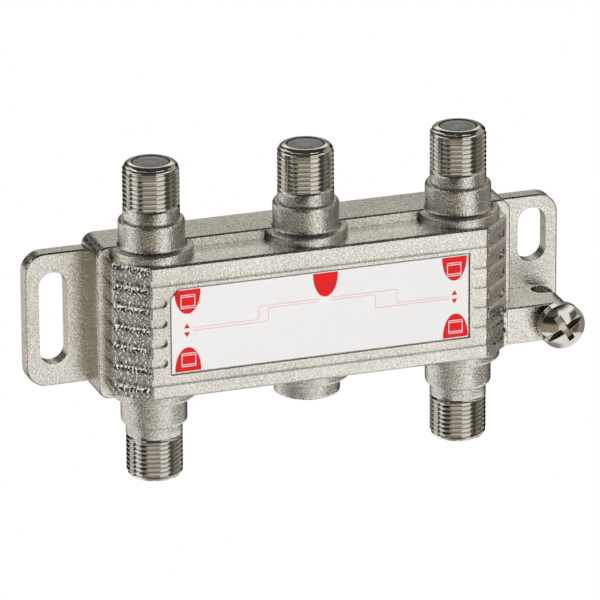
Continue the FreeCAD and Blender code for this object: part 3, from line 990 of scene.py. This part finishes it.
# where each panel starts, in degrees from the camera's side towards the right, and the light that its
# lower, middle and upper part give
PANELS = (
    (-180, BLACK, OLIVE, PALE_OLIVE),
    (-158, BROWN, BLACK, DARK_BROWN),
    (-131, BRIGHT, BLACK, BRIGHT),
    (-103, DARK_BROWN, BRIGHT, BRIGHT),
    (-88, BRIGHT, BRIGHT, BRIGHT),
    (-60, BLUE_GREY, BLUE_BLACK, BRIGHT),
    (-41, WARM, BLACK, DARK_BROWN),
    (22, BRIGHT, BRIGHT, BRIGHT),
    (60, DARK_BROWN, DARK_BROWN, BRIGHT),
    (88, TAN, BROWN, BROWN),
    (138, BLACK, BLACK, BROWN),
    (160, BLACK, OLIVE, PALE_OLIVE),
)
CAMERA_SIDE = -109.0
LOWER, MIDDLE, UPPER, ABOVE = range(4)
# the tent's rings from the floor up to the ceiling's middle: radius, height and the part they belong to
TENT_RINGS = (
    (TENT_RADIUS, TENT_FOOT, LOWER),
    (TENT_RADIUS, -0.05, LOWER),
    (TENT_RADIUS, 0.01, MIDDLE),
    (TENT_RADIUS, 0.16, MIDDLE),
    (TENT_RADIUS, 0.21, UPPER),
    (TENT_RADIUS, TENT_TOP, UPPER),
    (0.8 * TENT_RADIUS, CEILING_HEIGHT, ABOVE),
    (0.01, CEILING_HEIGHT, ABOVE),
)


def panel_light(azimuth, part):
    """The light of one part at an azimuth, with a soft change from one panel to the next."""
    if part == ABOVE:
        return (*CEILING, 1.0)
    half_change = 1.5
    samples = 9
    total = Vector((0, 0, 0))
    for sample in range(samples):
        at = (azimuth + half_change * (2 * sample / (samples - 1) - 1) + 180) % 360 - 180
        total += Vector([panel[1 + part] for panel in PANELS if panel[0] <= at][-1])
    return (*(total / samples), 1.0)


def tent_mesh():
    """The tent, with the light of its cloth kept at each point."""
    mesh = bpy.data.meshes.new("light_tent")
    turn = 360 / TENT_COLUMNS
    points = []
    lights = []
    faces = []
    for radius, height, part in TENT_RINGS:
        for column in range(TENT_COLUMNS):
            angle = math.radians(CAMERA_SIDE + turn * column)
            points.append((radius * math.cos(angle), radius * math.sin(angle), height))
            lights += panel_light(turn * column, part)
    for ring in range(len(TENT_RINGS) - 1):
        foot = ring * TENT_COLUMNS
        head = foot + TENT_COLUMNS
        for column in range(TENT_COLUMNS):
            after = (column + 1) % TENT_COLUMNS
            faces.append((foot + column, foot + after, head + after, head + column))
    mesh.from_pydata(points, [], faces)
    light = mesh.attributes.new("light", "FLOAT_COLOR", "POINT")
    light.data.foreach_set("color", lights)
    return mesh


def tent_material():
    """Cloth that glows with the light kept in the tent's mesh."""
    finish = Finish("tent_cloth")
    light = finish.node("ShaderNodeAttribute", {"attribute_name": "light"}, {}, "Color")
    glow = finish.node("ShaderNodeEmission", {}, {"Color": light, "Strength": 1.0})
    finish.feed(finish.tree.nodes["Material Output"].inputs["Surface"], glow)
    return finish.material


tent = bpy.data.objects.new("light_tent", tent_mesh())
bpy.context.scene.collection.objects.link(tent)
tent.data.materials.append(tent_material())
tent.visible_camera = False

world = bpy.data.worlds.new("studio")
bpy.context.scene.world = world
world.use_nodes = True
backdrop = world.node_tree.nodes["Background"].inputs
backdrop["Color"].default_value = WHITE
backdrop["Strength"].default_value = 1.0

LAMP_PLACE = Vector((-0.1, -0.36, 0.1))
lamp_data = bpy.data.lights.new("front_lamp", "AREA")
lamp_data.shape = "SQUARE"
lamp_data.size = 0.25
lamp_data.energy = 0.85
lamp = bpy.data.objects.new("front_lamp", lamp_data)
lamp.location = LAMP_PLACE
lamp.rotation_euler = (-LAMP_PLACE).to_track_quat("-Z", "Y").to_euler()
lamp.visible_glossy = False
bpy.context.scene.collection.objects.link(lamp)


# The camera
# It looks down at the splitter from its upper left with a long lens, as the picture does. Its angles,
# distance and lens were fitted to the picture, with the port threads' known size as the scale.
VIEW_AZIMUTH = math.radians(-18.9466)
VIEW_ELEVATION = math.radians(20.0835)
VIEW_ROLL = math.radians(-0.3792)
VIEW_DISTANCE = 1.171
LENS = 417.4
FILM_WIDTH = 36.0
OFF_RIGHT = 1.756 * MM
OFF_DOWN = 2.904 * MM

view_right = Vector((math.cos(VIEW_AZIMUTH), math.sin(VIEW_AZIMUTH), 0))
view_forward = Vector((
    -math.sin(VIEW_AZIMUTH) * math.cos(VIEW_ELEVATION),
    math.cos(VIEW_AZIMUTH) * math.cos(VIEW_ELEVATION),
    -math.sin(VIEW_ELEVATION),
))
view_up = view_right.cross(view_forward)
camera_place = view_right * OFF_RIGHT - view_up * OFF_DOWN - view_forward * VIEW_DISTANCE
rolled_right = view_right * math.cos(VIEW_ROLL) + view_up * math.sin(VIEW_ROLL)
rolled_up = rolled_right.cross(view_forward)
camera_data = bpy.data.cameras.new("camera")
camera_data.lens = LENS
camera_data.sensor_width = FILM_WIDTH
camera_data.clip_start = 0.1
camera_data.clip_end = 50.0
camera = bpy.data.objects.new("camera", camera_data)
bpy.context.scene.collection.objects.link(camera)
camera_axes = Matrix((rolled_right, rolled_up, -view_forward)).transposed().to_4x4()
camera.matrix_world = Matrix.Translation(camera_place) @ camera_axes
bpy.context.scene.camera = camera
bpy.context.scene.view_settings.view_transform = "Standard"
